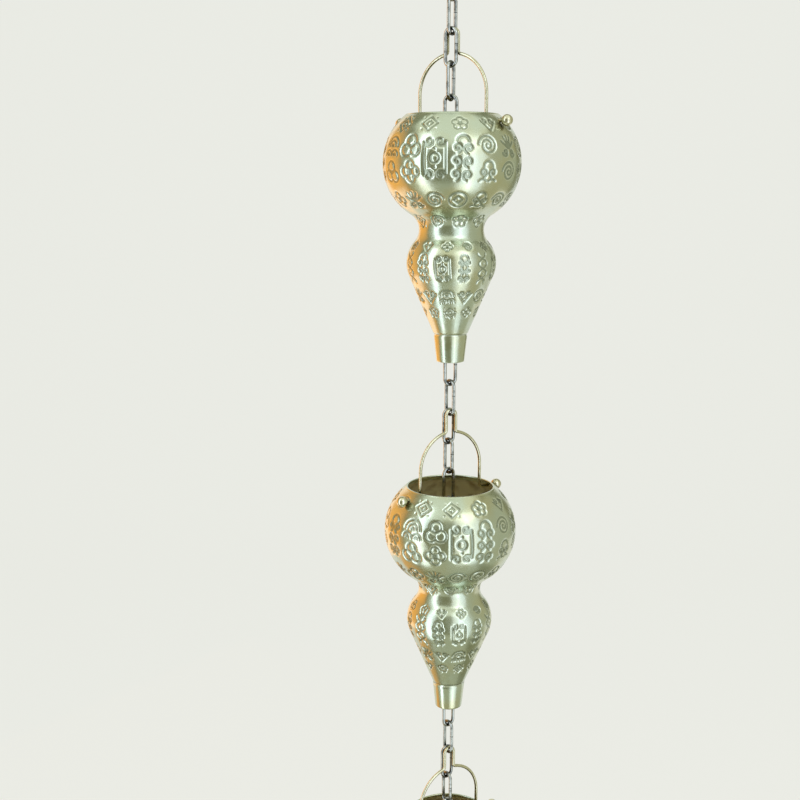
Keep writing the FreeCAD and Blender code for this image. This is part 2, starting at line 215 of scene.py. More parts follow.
def level_direction(points: Array) -> Array:
    """The level direction in which points spread most: the first axis of their covariance.

    Args:
        points: One row for each point.

    Returns:
        A direction of length one, without height, to the right.
    """
    flat = points[:, :2] - points[:, :2].mean(axis=0)
    spread, axes = np.linalg.eigh(flat.T @ flat)
    direction = axes[:, np.argmax(spread)]
    return np.array([*(direction if direction[0] > 0 else -direction), 0.0])


# Finishes

@dataclass(frozen=True)
class CastBrass:
    """Pale cast brass, polished by hand, with painted shade in its cuts and a painted highlight along
    their lips.

    The eye sees a satin metal with soft broad highlights, slow drifts of a greener and a more
    golden tone, a fine casting grain, and cuts darkened green-grey by painted shade, under
    lips lightened by a painted highlight.
    """

    name: str = "pale_cast_brass"
    tone: str = "#D0DAC8"
    golden: str = "#D2D2B0"
    # painted shade: the darker green-grey colour of the cuts stands in for the shade inside them
    tarnish: str = "#AAB39F"
    # painted highlight: the lighter colour along the lips of the cuts stands in for light caught on
    # their edges
    worn_lip: str = "#E9EEDD"
    roughness: float = 0.24
    cut_roughness: float = 0.34
    satin_spread: tuple[float, float] = (-0.05, 0.07)
    drift_mm: float = 16.0
    drift_range: tuple[float, float] = (0.42, 0.68)
    # coarser than real casting grain, so that it shows
    grain_mm: float = 0.8
    grain_height_mm: float = 0.01
    grain_strength: float = 0.8
    polish_mm: float = 5.0
    polish_range: tuple[float, float] = (0.3, 0.7)
    lip_mm: float = 0.28
    cut_edge_mm: tuple[float, float] = (0.02, -0.22)

    def build(self) -> bpy.types.Material:
        """Makes the material.

        Returns:
            The material, which reads the carving's distance from the mesh.
        """
        material = bpy.data.materials.new(self.name)
        tree = new_tree(material)
        place = add_node(tree, "ShaderNodeTexCoord").outputs["Object"]
        carve = add_node(tree, "ShaderNodeAttribute", attribute_name=CARVE_LAYER).outputs["Fac"]

        drift = add_node(tree, "ShaderNodeTexNoise",
                         {"Vector": place, "Scale": per_metre(self.drift_mm), "Detail": 3.0})
        gilt = add_node(tree, "ShaderNodeMapRange",
                        {"Value": drift.outputs["Fac"], "From Min": self.drift_range[0],
                         "From Max": self.drift_range[1]})
        skin = add_node(tree, "ShaderNodeMix",
                        {"Factor": gilt.outputs[0], MIX_A: srgb(self.tone), MIX_B: srgb(self.golden)},
                        data_type="RGBA")
        # a painted highlight runs along the outside of every cut: a lighter band where the lips catch
        # light
        lip = add_node(tree, "ShaderNodeMapRange",
                       {"Value": carve, "From Min": self.lip_mm, "From Max": 0.0},
                       interpolation_type="SMOOTHSTEP")
        highlit = add_node(tree, "ShaderNodeMix",
                          {"Factor": lip.outputs[0], MIX_A: skin.outputs[MIX_RESULT],
                           MIX_B: srgb(self.worn_lip)}, data_type="RGBA")
        cut = add_node(tree, "ShaderNodeMapRange",
                       {"Value": carve, "From Min": self.cut_edge_mm[0],
                        "From Max": self.cut_edge_mm[1]},
                       interpolation_type="SMOOTHSTEP")
        # painted shade: inside the cuts the colour darkens to the shade tone
        cut_shaded = add_node(tree, "ShaderNodeMix",
                         {"Factor": cut.outputs[0], MIX_A: highlit.outputs[MIX_RESULT],
                          MIX_B: srgb(self.tarnish)}, data_type="RGBA")

        polish = add_node(tree, "ShaderNodeTexNoise",
                          {"Vector": place, "Scale": per_metre(self.polish_mm), "Detail": 5.0})
        satin = add_node(tree, "ShaderNodeMapRange",
                         {"Value": polish.outputs["Fac"], "From Min": self.polish_range[0],
                          "From Max": self.polish_range[1],
                          "To Min": self.roughness + self.satin_spread[0],
                          "To Max": self.roughness + self.satin_spread[1]})
        rough = add_node(tree, "ShaderNodeMapRange",
                         {"Value": cut.outputs[0], "To Min": satin.outputs[0],
                          "To Max": self.cut_roughness})

        grain = add_node(tree, "ShaderNodeTexNoise",
                         {"Vector": place, "Scale": per_metre(self.grain_mm), "Detail": 2.0})
        bump = add_node(tree, "ShaderNodeBump",
                        {"Height": grain.outputs["Fac"], "Distance": self.grain_height_mm * MM,
                         "Strength": self.grain_strength})
        shader = add_node(tree, "ShaderNodeBsdfPrincipled",
                          {"Base Color": cut_shaded.outputs[MIX_RESULT], "Metallic": 1.0,
                           "Roughness": rough.outputs[0], "Normal": bump.outputs["Normal"]})
        add_node(tree, "ShaderNodeOutputMaterial", {"Surface": shader.outputs["BSDF"]})
        return material


@dataclass(frozen=True)
class RawCasting:
    """The skin that the sand leaves inside a cast brass cup, never polished.

    The eye sees a dull golden metal without clear reflections, mottled brown by old rain water
    and pitted by the sand.
    """

    name: str = "raw_brass_casting"
    tone: str = "#E2D8AC"
    stain: str = "#A8935E"
    roughness: float = 0.6
    metallic: float = 0.35
    stain_mm: float = 7.0
    stain_range: tuple[float, float] = (0.46, 0.74)
    pit_mm: float = 1.1
    pit_height_mm: float = 0.05
    pit_strength: float = 0.7

    def build(self) -> bpy.types.Material:
        """Makes the material.

        Returns:
            The material.
        """
        material = bpy.data.materials.new(self.name)
        tree = new_tree(material)
        place = add_node(tree, "ShaderNodeTexCoord").outputs["Object"]
        cloud = add_node(tree, "ShaderNodeTexNoise",
                         {"Vector": place, "Scale": per_metre(self.stain_mm), "Detail": 4.0})
        stained = add_node(tree, "ShaderNodeMapRange",
                           {"Value": cloud.outputs["Fac"], "From Min": self.stain_range[0],
                            "From Max": self.stain_range[1]})
        colour = add_node(tree, "ShaderNodeMix",
                          {"Factor": stained.outputs[0], MIX_A: srgb(self.tone),
                           MIX_B: srgb(self.stain)}, data_type="RGBA")
        pits = add_node(tree, "ShaderNodeTexNoise",
                        {"Vector": place, "Scale": per_metre(self.pit_mm), "Detail": 2.0})
        bump = add_node(tree, "ShaderNodeBump",
                        {"Height": pits.outputs["Fac"], "Distance": self.pit_height_mm * MM,
                         "Strength": self.pit_strength})
        shader = add_node(tree, "ShaderNodeBsdfPrincipled",
                          {"Base Color": colour.outputs[MIX_RESULT], "Metallic": self.metallic,
                           "Roughness": self.roughness, "Normal": bump.outputs["Normal"]})
        add_node(tree, "ShaderNodeOutputMaterial", {"Surface": shader.outputs["BSDF"]})
        return material


@dataclass(frozen=True)
class DrawnWire:
    """Drawn and bent metal wire, bright where it rubs and dulled by handling elsewhere.

    The eye sees a slim bright highlight along the wire, broken by cloudy handling marks and
    by the fine ridges that the drawing die leaves, and painted shade that darkens it where wires hang
    together and other parts come close.
    """

    name: str
    tone: str
    dull: str
    roughness: float
    # painted shade: ambient occlusion darkens the colour towards this tone near other surfaces
    grime: str = "#1E1E1C"
    grime_reach_mm: float = 5.0
    grime_range: tuple[float, float] = (0.92, 0.45)
    grime_rays: int = 8
    cloud_mm: float = 2.6
    cloud_range: tuple[float, float] = (0.45, 0.72)
    handled_roughness: float = 0.18
    ridge_mm: float = 0.35
    ridge_height_mm: float = 0.01
    ridge_strength: float = 0.6

    def build(self) -> bpy.types.Material:
        """Makes the material.

        Returns:
            The material.
        """
        material = bpy.data.materials.new(self.name)
        tree = new_tree(material)
        place = add_node(tree, "ShaderNodeTexCoord").outputs["Object"]
        cloud = add_node(tree, "ShaderNodeTexNoise",
                         {"Vector": place, "Scale": per_metre(self.cloud_mm), "Detail": 4.0})
        handled = add_node(tree, "ShaderNodeMapRange",
                           {"Value": cloud.outputs["Fac"], "From Min": self.cloud_range[0],
                            "From Max": self.cloud_range[1]})
        clean = add_node(tree, "ShaderNodeMix",
                         {"Factor": handled.outputs[0], MIX_A: srgb(self.tone),
                          MIX_B: srgb(self.dull)}, data_type="RGBA")
        # painted shade: the colour goes dark where other surfaces are close, as in the shade between
        # links
        shelter = add_node(tree, "ShaderNodeAmbientOcclusion",
                           {"Distance": self.grime_reach_mm * MM}, samples=self.grime_rays)
        shaded = add_node(tree, "ShaderNodeMapRange",
                         {"Value": shelter.outputs["AO"], "From Min": self.grime_range[0],
                          "From Max": self.grime_range[1]})
        colour = add_node(tree, "ShaderNodeMix",
                          {"Factor": shaded.outputs[0], MIX_A: clean.outputs[MIX_RESULT],
                           MIX_B: srgb(self.grime)}, data_type="RGBA")
        rough = add_node(tree, "ShaderNodeMapRange",
                         {"Value": handled.outputs[0], "To Min": self.roughness,
                          "To Max": self.roughness + self.handled_roughness})
        ridge = add_node(tree, "ShaderNodeTexNoise",
                         {"Vector": place, "Scale": per_metre(self.ridge_mm), "Detail": 1.0})
        bump = add_node(tree, "ShaderNodeBump",
                        {"Height": ridge.outputs["Fac"], "Distance": self.ridge_height_mm * MM,
                         "Strength": self.ridge_strength})
        shader = add_node(tree, "ShaderNodeBsdfPrincipled",
                          {"Base Color": colour.outputs[MIX_RESULT], "Metallic": 1.0,
                           "Roughness": rough.outputs[0], "Normal": bump.outputs["Normal"]})
        add_node(tree, "ShaderNodeOutputMaterial", {"Surface": shader.outputs["BSDF"]})
        return material


# the brass wire darkens to a brown-olive painted shade near other parts, the steel wires to near
# black
BRASS_WIRE = DrawnWire("drawn_brass_wire", tone="#E6E2C8", dull="#CFC9A4", roughness=0.2,
                       grime="#847A56")
NICKEL_STEEL = DrawnWire("nickel_plated_steel", tone="#CDD0CE", dull="#6E716F", roughness=0.12)
SEAM_STEEL = DrawnWire("bare_seam_steel", tone="#4A4A48", dull="#333331", roughness=0.45)


# Ornament

def segment(u: Array, v: Array, start: tuple[float, float], end: tuple[float, float]) -> Array:
    """Distance to a straight stroke: to the nearest point of the line held between its ends.

    Args:
        u: Places across the cell, from its middle.
        v: Places up the cell, from its middle.
        start: One end of the stroke.
        end: The other end.

    Returns:
        A distance for each place.
    """
    run, rise = end[0] - start[0], end[1] - start[1]
    along = ((u - start[0]) * run + (v - start[1]) * rise) / (run * run + rise * rise)
    along = np.clip(along, 0, 1)
    return np.hypot(u - start[0] - along * run, v - start[1] - along * rise)


def ring(u: Array, v: Array, radius: float) -> Array:
    """Distance to a circle about the middle."""
    return np.abs(np.hypot(u, v) - radius)


def arc(u: Array, v: Array, radius: float, middle: float, half: float) -> Array:
    """Distance to an arc about the middle: to its circle beside it, and else to its nearer end.

    Args:
        u: Places across the cell, from its middle.
        v: Places up the cell, from its middle.
        radius: Radius of the arc.
        middle: Angle of the arc's own middle, in radians.
        half: Half the arc's sweep, in radians.

    Returns:
        A distance for each place.
    """
    turn = np.angle(np.exp(1j * (np.arctan2(v, u) - middle)))
    ends = [(radius * math.cos(middle + s * half), radius * math.sin(middle + s * half))
            for s in (-1, 1)]
    to_ends = np.minimum.reduce([np.hypot(u - x, v - y) for x, y in ends])
    return np.where(np.abs(turn) <= half, ring(u, v, radius), to_ends)


def spiral(u: Array, v: Array, radius: float, turns: float, start: float = 0.0) -> Array:
    """Distance to a spiral whose radius grows evenly with its angle.

    The nearest turn of the spiral is found from the point's own radius and angle, and past the
    last turn the distance is that to the last lap before it.

    Args:
        u: Places across the cell, from its middle.
        v: Places up the cell, from its middle.
        radius: Radius at the spiral's outer end.
        turns: How many turns it makes from the middle.
        start: Angle at which it leaves the middle, in radians.

    Returns:
        A distance for each place.
    """
    away = np.hypot(u, v)
    angle = np.mod(np.arctan2(v, u) - start, 2 * np.pi) / (2 * np.pi)
    pitch = radius / turns
    lap = np.clip(np.round(away / pitch - angle), 0, math.ceil(turns) - 1)
    lap = np.where((lap + angle) > turns, lap - 1, lap)
    return np.abs(away - pitch * np.maximum(lap + angle, 0))


def petals(u: Array, v: Array, count: int, reach: float, radius: float) -> Array:
    """Distance to the outline of a flower: round petals set evenly about the middle.

    Each place is turned into the sector of its nearest petal, and the distance is that to the
    petal's circle there.

    Args:
        u: Places across the cell, from its middle.
        v: Places up the cell, from its middle.
        count: How many petals there are.
        reach: Distance of the petals' centres from the middle.
        radius: Radius of a petal.

    Returns:
        A distance for each place.
    """
    sector = 2 * np.pi / count
    angle = np.arctan2(v, u) - np.pi / 2
    angle = angle - sector * np.round(angle / sector)
    away = np.hypot(u, v)
    return np.abs(np.hypot(away * np.cos(angle) - reach, away * np.sin(angle)) - radius)


class Motif(Enum):
    """The ornaments that fill the carved cells, each drawn in a cell two units wide."""

    SPIRAL = "round spiral"
    CLOUD = "cloud scroll"
    BLOSSOM = "five-petalled blossom"
    QUATREFOIL = "four petals about a lozenge"
    LOZENGE = "nested lozenges"
    SCALES = "overlapping wave scales"
    PALMETTE = "fan of leaves over two curls"
    HEART = "two curls that meet in a point"
    COIN = "ring with a square hole"
    RINGS = "three linked rings"
    LYRE = "two tall bars curled in at both ends, about a ring"
    CLOUD_STACK = "three tiers of mirrored curls"
    BRAID = "two waves that cross"

    def distance(self, u: Array, v: Array) -> Array:
        """Distance from each point of a cell to the middle line of the nearest stroke.

        Args:
            u: Places across the cell, from -1 to 1.
            v: Places up the cell, from -1 to 1, or to twice that in a tall cell.

        Returns:
            Distances in the same unit.
        """
        return getattr(self, f"_{self.name.lower()}")(u, v)

    def _spiral(self, u: Array, v: Array) -> Array:
        """A round spiral."""
        return spiral(u, v, 0.88, 2.5)

    def _cloud(self, u: Array, v: Array) -> Array:
        """Two mirrored spirals under an arched lobe, on a wavy foot.

        Args:
            u: Places across the cell.
            v: Places up the cell.

        Returns:
            Distances in the cell's unit.
        """
        side = np.abs(u)
        curls = spiral(side - 0.47, v + 0.1, 0.42, 1.5, math.pi / 2)
        lobe = arc(u, v - 0.38, 0.45, math.pi / 2, 1.5)
        foot = arc(side - 0.45, v + 1.15, 0.48, math.pi / 2, 0.8)
        return np.minimum.reduce([curls, lobe, foot])

    def _blossom(self, u: Array, v: Array) -> Array:
        """Five petals, a round middle and a dot in every petal."""
        dots = petals(u, v, 5, 0.5, 0.0)
        return np.minimum.reduce([petals(u, v, 5, 0.52, 0.36), dots + 0.06, np.hypot(u, v)])

    def _quatrefoil(self, u: Array, v: Array) -> Array:
        """Four petals about a small lozenge."""
        lozenge = np.abs(np.abs(u) + np.abs(v) - 0.2) / math.sqrt(2)
        return np.minimum(petals(u, v, 4, 0.5, 0.38), lozenge)

    def _lozenge(self, u: Array, v: Array) -> Array:
        """Two lozenges, one in the other, with dots at the corners of the cell.

        Args:
            u: Places across the cell.
            v: Places up the cell.

        Returns:
            Distances in the cell's unit.
        """
        sum_ = np.abs(u) + np.abs(v)
        dots = np.hypot(np.abs(u) - 0.75, np.abs(v) - 0.75)
        return np.minimum.reduce([np.abs(sum_ - 0.92) / math.sqrt(2),
                                  np.abs(sum_ - 0.36) / math.sqrt(2), dots])

    def _scales(self, u: Array, v: Array) -> Array:
        """Three fans of nested arcs, two below and one above.

        Args:
            u: Places across the cell.
            v: Places up the cell.

        Returns:
            Distances in the cell's unit.
        """
        side = np.abs(u) - 0.48
        below = [arc(side, v + 0.8, r, math.pi / 2, math.pi / 2) for r in (0.46, 0.14)]
        above = [arc(u, v + 0.02, r, math.pi / 2, math.pi / 2) for r in (0.86, 0.5, 0.14)]
        return np.minimum.reduce(below + above)

    def _palmette(self, u: Array, v: Array) -> Array:
        """Five leaves that fan out above two mirrored curls.

        Args:
            u: Places across the cell.
            v: Places up the cell.

        Returns:
            Distances in the cell's unit.
        """
        side = np.abs(u)
        leaves = [segment(side, v, (0.12 * x, -0.2), (x, y))
                  for x, y in ((0.0, 0.9), (0.46, 0.78), (0.84, 0.36))]
        curls = spiral(side - 0.46, v + 0.58, 0.4, 1.5, math.pi)
        return np.minimum.reduce([curls, *leaves])

    def _heart(self, u: Array, v: Array) -> Array:
        """Two mirrored curls whose tails run down to one point, with a dot between them.

        Args:
            u: Places across the cell.
            v: Places up the cell.

        Returns:
            Distances in the cell's unit.
        """
        side = np.abs(u)
        curls = spiral(side - 0.46, v - 0.36, 0.42, 1.5, math.pi)
        tails = segment(side, v, (0.88, 0.3), (0.0, -0.9))
        return np.minimum.reduce([curls, tails, np.hypot(u, v + 0.32)])

    def _coin(self, u: Array, v: Array) -> Array:
        """A ring about a square turned on its corner."""
        square = np.abs(np.abs(u) + np.abs(v) - 0.42) / math.sqrt(2)
        return np.minimum(ring(u, v, 0.84), square)

    def _rings(self, u: Array, v: Array) -> Array:
        """Three rings that overlap, two below and one above."""
        return np.minimum(ring(u, v - 0.4, 0.5), ring(np.abs(u) - 0.44, v + 0.36, 0.5))

    def _lyre(self, u: Array, v: Array) -> Array:
        """Two upright bars with a curl at each end, a ring between them and a dot above and below it.

        Args:
            u: Places across the cell.
            v: Places up the cell.

        Returns:
            Distances in the cell's unit.
        """
        side, level = np.abs(u), np.abs(v)
        bars = segment(side, level, (0.86, 0.0), (0.86, 1.2))
        curls = spiral(side - 0.46, level - 1.25, 0.4, 1.5, math.pi)
        return np.minimum.reduce([bars, curls, ring(u, v, 0.36), np.hypot(u, level - 0.68)])

    def _cloud_stack(self, u: Array, v: Array) -> Array:
        """Three pairs of mirrored curls, one above the other, under an arched lobe.

        Args:
            u: Places across the cell.
            v: Places up the cell.

        Returns:
            Distances in the cell's unit.
        """
        side = np.abs(u)
        curls = [spiral(side - 0.47, v - y, 0.42, 1.5, math.pi / 2) for y in (0.75, -0.25, -1.25)]
        lobe = arc(u, v - 1.25, 0.5, math.pi / 2, 1.5)
        return np.minimum.reduce([lobe, *curls])

    def _braid(self, u: Array, v: Array) -> Array:
        """Two waves that cross down the cell, with a dot in each of the eyes between them.

        Args:
            u: Places across the cell.
            v: Places up the cell.

        Returns:
            Distances in the cell's unit.
        """
        wave = 2.5
        slope = np.hypot(1.0, 0.7 * wave * np.cos(wave * v))
        waves = np.abs(np.abs(u) - np.abs(0.7 * np.sin(wave * v))) / slope
        waves = np.maximum(waves, np.abs(v) - 1.88)
        eyes = np.hypot(u, np.abs(np.mod(v, np.pi / wave) - np.pi / wave / 2))
        return np.minimum(waves, np.maximum(eyes, np.abs(v) - 1.5))


SMALL_MOTIFS = (Motif.SPIRAL, Motif.BLOSSOM, Motif.HEART, Motif.RINGS, Motif.LOZENGE,
                Motif.QUATREFOIL, Motif.COIN)
LARGE_MOTIFS = (Motif.CLOUD, Motif.HEART, Motif.SPIRAL, Motif.PALMETTE, Motif.RINGS,
                Motif.SCALES, Motif.QUATREFOIL, Motif.COIN)
TALL_MOTIFS = (Motif.LYRE, Motif.CLOUD_STACK, Motif.BRAID)


@dataclass(frozen=True)
class Band:
    """A ring of carved cells round a cup, in millimetres along its outline from the rim.

    Attributes:
        middle: Where the band's middle lies.
        cell: Half the width of a cell.
        count: How many cells go round.
        phase: Turn of the first cell, in degrees from the front.
        stroke: Half the width of a stroke.
        motifs: The ornaments that the cells take in turn.
        aspect: Height of a cell over its width.
        bare: Cells that stay plain, because another band's ornament takes their place.
    """

    middle: float
    cell: float
    count: int
    phase: float
    stroke: float
    motifs: tuple[Motif, ...]
    aspect: float = 1.0
    bare: frozenset[int] = frozenset()


# the upper bulb has two rows of cells, with tall ornaments through both in some places
BULB_CELLS = 16
TALL_CELLS = frozenset((1, 2, 6, 9, 10, 14))
SPLIT_CELLS = frozenset(range(BULB_CELLS)) - TALL_CELLS
BANDS = (
    Band(6.8, 4.3, 12, -25.0, 0.55, SMALL_MOTIFS),
    Band(17.8, 5.4, BULB_CELLS, -39.0, 0.66, LARGE_MOTIFS, bare=TALL_CELLS),
    Band(29.6, 5.4, BULB_CELLS, -39.0, 0.66, LARGE_MOTIFS, bare=TALL_CELLS),
    Band(23.7, 5.9, BULB_CELLS, -39.0, 0.8, TALL_MOTIFS, 2.0, SPLIT_CELLS),
    Band(43.6, 4.8, 16, -19.0, 0.6, LARGE_MOTIFS),
    Band(57.6, 3.9, 10, -25.0, 0.52, SMALL_MOTIFS),
    Band(70.4, 2.7, 12, -8.0, 0.46, SMALL_MOTIFS),
    Band(81.4, 3.8, 13, -13.0, 0.58, TALL_MOTIFS, 2.0),
    Band(95.4, 3.8, 12, -9.0, 0.54, LARGE_MOTIFS),
    Band(104.2, 2.8, 10, -4.0, 0.46, SMALL_MOTIFS),
)


# Gourd cups

@dataclass
class Arc:
    """A bend of the outline about a centre, from one angle to another.

    Attributes:
        centre: Radius and height of the centre.
        radius: Radius of the bend.
        first: Angle at which the bend starts.
        last: Angle at which it ends.
        outward: One where the shell lies on the centre's side, and minus one in a hollow.
    """

    centre: tuple[float, float]
    radius: float
    first: float
    last: float
    outward: int = 1

    def sample(self, step: float) -> Array:
        """Points of the bend: centre plus radius times cosine and sine, with the outward normal.

        Args:
            step: The greatest distance between points.

        Returns:
            Rows of radius, height, and the normal's two parts, without the last point.
        """
        count = max(2, math.ceil(abs(self.last - self.first) * self.radius / step))
        angle = np.linspace(self.first, self.last, count, endpoint=False)
        cos, sin = np.cos(angle), np.sin(angle)
        return np.stack([self.centre[0] + self.radius * cos, self.centre[1] + self.radius * sin,
                         self.outward * cos, self.outward * sin], axis=1)


@dataclass
class GourdCup:
    """A turned gourd-shaped cup with carved bands, in millimetres, depths down from its rim.

    Attributes:
        polished_inside: Depth to which the inside is polished like the outside.
        carve_edge: Width over which a stroke sinks to its full depth.
        edge_outside: Share of that width that lies outside the stroke.
        cell_reach: How far a band's rows are searched, as a share of half its cell's height.
        most_tilt: Greatest tilt of an ornament in its cell, in degrees.
        pattern_turn: Turn of the whole ornament about the axis, in degrees.
        columns: How many points go round.
        fine_step: Greatest distance between rows on the carved outside.
        coarse_step: The same inside.
        spout_step: The same on the plain spout.
        bands: The carved bands, from the rim down.
    """

    number: int
    height: float = 117.0
    wall: float = 1.0
    mouth_radius: float = 21.7
    bulb_radius: float = 32.75
    bulb_depth: float = 22.4
    waist_radius: float = 15.5
    waist_depth: float = 53.4
    waist_bend: float = 8.25
    lower_radius: float = 21.5
    lower_depth: float = 69.2
    lower_belly_bend: float = 15.5
    spout_length: float = 13.7
    spout_top_radius: float = 8.2
    spout_end_radius: float = 6.75
    foot_depth: float = 3.6
    foot_hole: float = 0.95
    lip_round: float = 0.3
    lip_rows: int = 5
    lip_gap: float = 0.1
    polished_inside: float = 5.0
    scribe_width: float = 0.7
    carve_depth: float = 0.5
    carve_edge: float = 0.55
    edge_outside: float = 0.2
    cell_reach: float = 1.1
    most_tilt: float = 4.0
    pattern_turn: float = 0.0
    columns: int = 356
    fine_step: float = 0.56
    coarse_step: float = 4.0
    spout_step: float = 1.2
    bands: tuple[Band, ...] = BANDS

    @property
    def name(self) -> str:
        """The name of the CAD node and of its body."""
        return f"gourd_{self.number}"

    def bends(self) -> list[Arc]:
        """The outline's bends from the rim to the tail, each of which runs smoothly into the next.

        A bend that goes in by a reach over a drop has a radius of the sum of their squares over
        twice the reach. Where two bends share the way, that is the sum of their radii.

        Returns:
            The shoulder, the belly, the waist, and the lower bulb above and below its widest place.
        """
        reach = self.bulb_radius - self.mouth_radius
        shoulder = (reach ** 2 + self.bulb_depth ** 2) / (2 * reach)
        reach, drop = self.bulb_radius - self.waist_radius, self.waist_depth - self.bulb_depth
        belly = (reach ** 2 + drop ** 2) / (2 * reach) - self.waist_bend
        belly_lean = math.asin(drop / (belly + self.waist_bend))
        reach, drop = self.lower_radius - self.waist_radius, self.lower_depth - self.waist_depth
        lower = (reach ** 2 + drop ** 2) / (2 * reach) - self.waist_bend
        lower_lean = math.asin(drop / (lower + self.waist_bend))
        rim_lean = math.asin(self.bulb_depth / shoulder)
        return [
            Arc((self.bulb_radius - shoulder, -self.bulb_depth), shoulder, rim_lean, 0),
            Arc((self.bulb_radius - belly, -self.bulb_depth), belly, 0, -belly_lean),
            Arc((self.waist_radius + self.waist_bend, -self.waist_depth), self.waist_bend,
                math.pi - belly_lean, math.pi + lower_lean, -1),
            Arc((self.lower_radius - lower, -self.lower_depth), lower, lower_lean, 0),
            Arc((self.lower_radius - self.lower_belly_bend, -self.lower_depth),
                self.lower_belly_bend, 0, -self.tail_lean()),
        ]

    def tail_lean(self) -> float:
        """The lean of the straight tail: that of the line from the spout that touches the bulb.

        Returns:
            The angle from upright, in radians.
        """
        run = self.spout_top_radius - self.lower_radius + self.lower_belly_bend
        drop = self.height - self.spout_length - self.lower_depth
        return math.asin(self.lower_belly_bend / math.hypot(run, drop)) - math.atan2(run, drop)

    def straights(self, steps: tuple[float, float]) -> list[Array]:
        """Points of the straight tail and of the spout, each a line between two ends.

        Args:
            steps: The greatest distance between points on the tail and on the spout.

        Returns:
            Rows of radius, height and normal for each line, the last with its end point.
        """
        lean = self.tail_lean()
        bend = self.lower_belly_bend
        top = (self.lower_radius - bend + bend * math.cos(lean),
               -self.lower_depth - bend * math.sin(lean))
        line = (self.spout_top_radius, self.spout_length - self.height)
        end = (self.spout_end_radius, -self.height)
        rows = []
        for (a, b), step in zip(((top, line), (line, end)), steps):
            length = math.hypot(b[0] - a[0], b[1] - a[1])
            share = np.linspace(0, 1, max(2, math.ceil(length / step)), endpoint=b is end)
            normal = ((a[1] - b[1]) / length, (b[0] - a[0]) / length)
            rows.append(np.stack([a[0] + share * (b[0] - a[0]), a[1] + share * (b[1] - a[1]),
                                  np.full_like(share, normal[0]),
                                  np.full_like(share, normal[1])], axis=1))
        return rows

    def outline(self, bend_step: float, spout_step: float) -> Array:
        """The cup's outside from the rim to the spout's end.

        Args:
            bend_step: The greatest distance between points above the spout.
            spout_step: The greatest distance between points on the spout.

        Returns:
            Rows of radius, height, and the outward normal's two parts.
        """
        rows = [bend.sample(bend_step) for bend in self.bends()]
        return np.concatenate(rows + self.straights((bend_step, spout_step)))

    def carving(self, along: Array, radius: Array, turn: Array) -> Array:
        """The signed distance in millimetres from each point to the edge of the nearest stroke.

        In each band the point's place along the outline and round the cup is taken from the
        middle of its cell, divided by half the cell's width, and handed to the cell's motif.

        Args:
            along: Distance of each row along the outline from the rim.
            radius: Radius of each row.
            turn: Angle of each column from the front.

        Returns:
            Rows by columns of distances, less than nothing inside a stroke.
        """
        nearest = np.full((len(along), len(turn)), PLAIN)
        chance = np.random.default_rng(PATTERN_SEED)
        for band in self.bands:
            reach = band.cell * band.aspect * self.cell_reach
            rows = np.flatnonzero(np.abs(along - band.middle) < reach)
            sector = 2 * np.pi / band.count
            from_first = np.angle(np.exp(1j * (turn - math.radians(band.phase + self.pattern_turn))))
            index = np.round(from_first / sector).astype(int)
            middle_radius = np.interp(band.middle, along, radius)
            across = (from_first - index * sector) * middle_radius / band.cell
            up = (band.middle - along[rows]) / band.cell
            order = chance.permutation(band.count)
            flips = chance.choice((-1.0, 1.0), band.count)
            tilts = np.radians(chance.uniform(-self.most_tilt, self.most_tilt, band.count))
            for cell in sorted(set(range(band.count)) - band.bare):
                columns = np.flatnonzero(index % band.count == cell)
                motif = band.motifs[order[cell] % len(band.motifs)]
                u, v = np.meshgrid(across[columns] * flips[cell], up)
                cos, sin = math.cos(tilts[cell]), math.sin(tilts[cell])
                away = motif.distance(u * cos - v * sin, u * sin + v * cos) * band.cell
                area = np.ix_(rows, columns)
                nearest[area] = np.minimum(nearest[area], away - band.stroke)
        return nearest

    def trim(self, rows: Array) -> Array:
        """Cuts a wall's rows to where the round lips begin, by straight steps between its rows.

        Args:
            rows: Rows from the rim down, with the height in the second column.

        Returns:
            The rows between the lips, with one at each cut.
        """
        depth = -rows[:, 1]
        first, last = self.lip_round, self.height - self.lip_round
        kept = depth[(depth > first + self.lip_gap) & (depth < last - self.lip_gap)]
        cuts = np.concatenate([[first], kept, [last]])
        trimmed = np.stack([np.interp(cuts, depth, column) for column in rows.T], axis=1)
        trimmed[:, 1] = -cuts
        return trimmed

    def lip(self, start: Array, end: Array, level: float) -> Array:
        """A round lip from one wall to the other: half an ellipse that just reaches a level.

        Args:
            start: Radius and height of the wall that it leaves.
            end: Radius and height of the wall that it meets.
            level: The height of its crest.

        Returns:
            Rows of radius and height, without the walls' own points.
        """
        angle = np.linspace(0, np.pi, self.lip_rows + 2)[1:-1, None]
        middle, half = (start + end) / 2, (end - start) / 2
        crest = np.array([0.0, level - middle[1]])
        return middle - half * np.cos(angle) + crest * np.sin(angle)

    def sink(self, outer: Array, turn: Array) -> tuple[Array, Array, Array]:
        """Carves the outside: each point moves inwards along its normal, smoothly into a stroke.

        Args:
            outer: Rows of radius, height, and the outward normal's two parts.
            turn: Angle of each column from the front.

        Returns:
            Radius, height and the carving's distance, each as rows by columns.
        """
        along = np.concatenate([[0.0], np.cumsum(np.hypot(*np.diff(outer[:, :2], axis=0).T))])
        carve = self.carving(along, outer[:, 0], turn)
        depth = -outer[:, 1:2]
        scribe = np.abs(depth - self.height + self.spout_length) - self.scribe_width / 2
        feet = level_direction(node_points(f"bail_{self.number}"))
        from_feet = outer[:, :1] * np.sin(turn - math.atan2(feet[0], -feet[1]))
        holes = np.hypot(from_feet, depth - self.foot_depth) - self.foot_hole
        carve = np.minimum.reduce([carve, scribe + 0 * turn, holes])
        share = np.clip(self.edge_outside - carve / self.carve_edge, 0, 1)
        sunk = self.carve_depth * share * share * (3 - 2 * share)
        return outer[:, :1] - sunk * outer[:, 2:3], outer[:, 1:2] - sunk * outer[:, 3:4], carve

